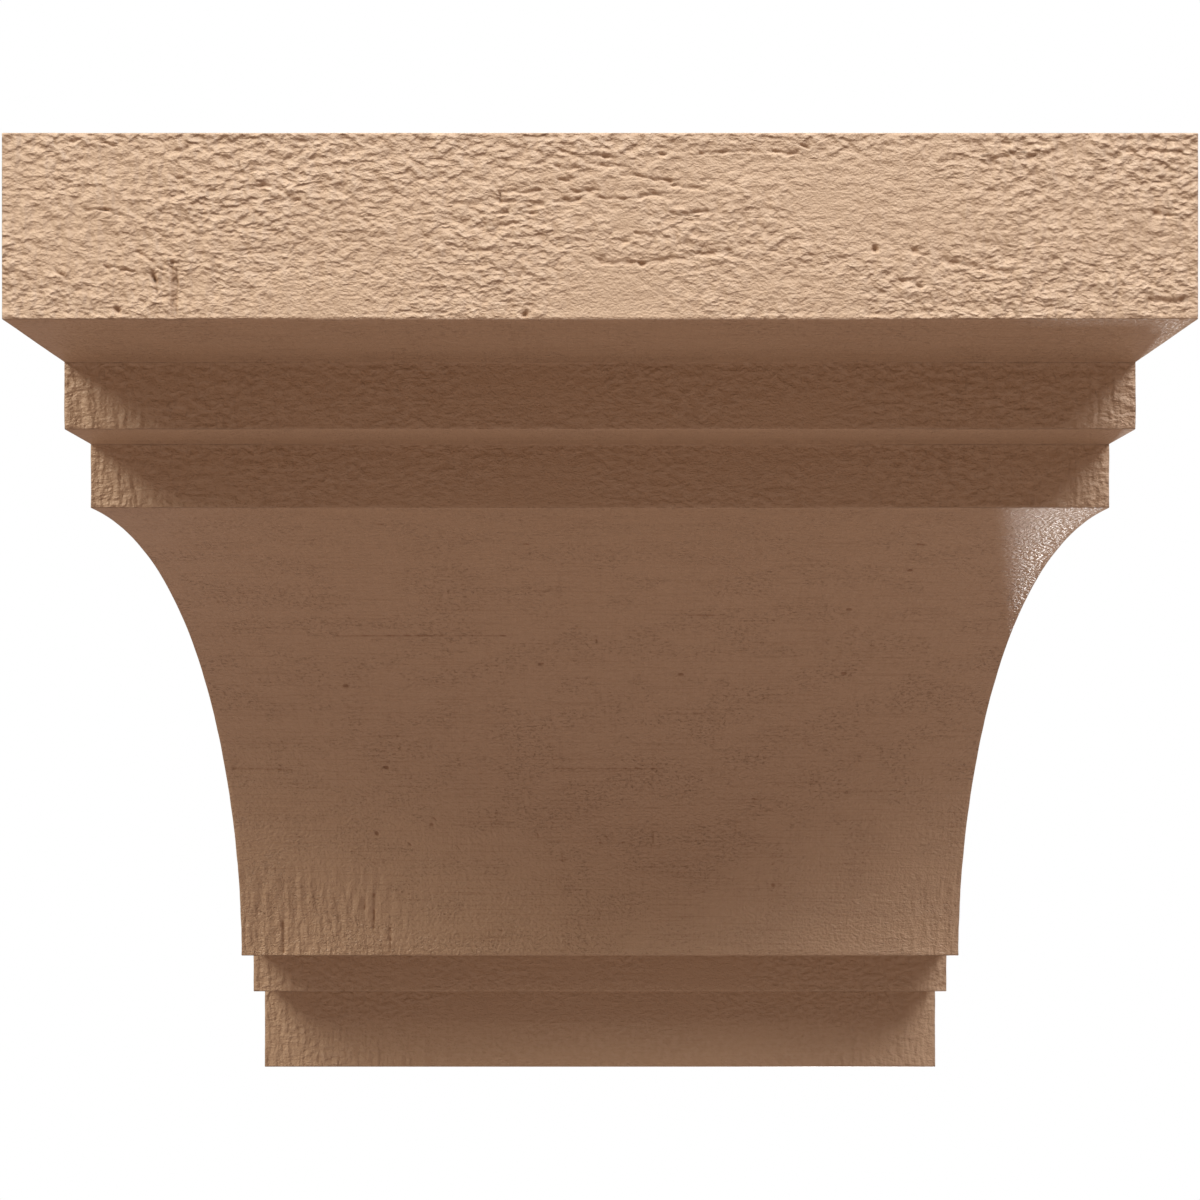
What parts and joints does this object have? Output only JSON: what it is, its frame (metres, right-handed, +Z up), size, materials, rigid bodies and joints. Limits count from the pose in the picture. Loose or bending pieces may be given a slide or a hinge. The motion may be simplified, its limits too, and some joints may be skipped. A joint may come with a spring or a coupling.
{
  "type": "urethane corbel",
  "caption": "Solid wall corbel with a deep square cap, stepped bands, a long cove and a stepped foot, in rough-sawn faux wood; it carries a shelf, mantel or beam.",
  "frame": {"origin": "centre of the flat back, where it meets the wall", "axes": "+Z up, +Y into the wall, so the corbel stands out towards -Y; +X to the right as seen from the front"},
  "size_m": [0.3048, 0.3048, 0.3048],
  "materials": {
    "primed_urethane": "matt tan factory primer over a rough-sawn wood texture moulded into the foam's dense skin"
  },
  "bodies": {
    "root": {"corbel_casting": "primed_urethane"}
  },
  "joints": []
}
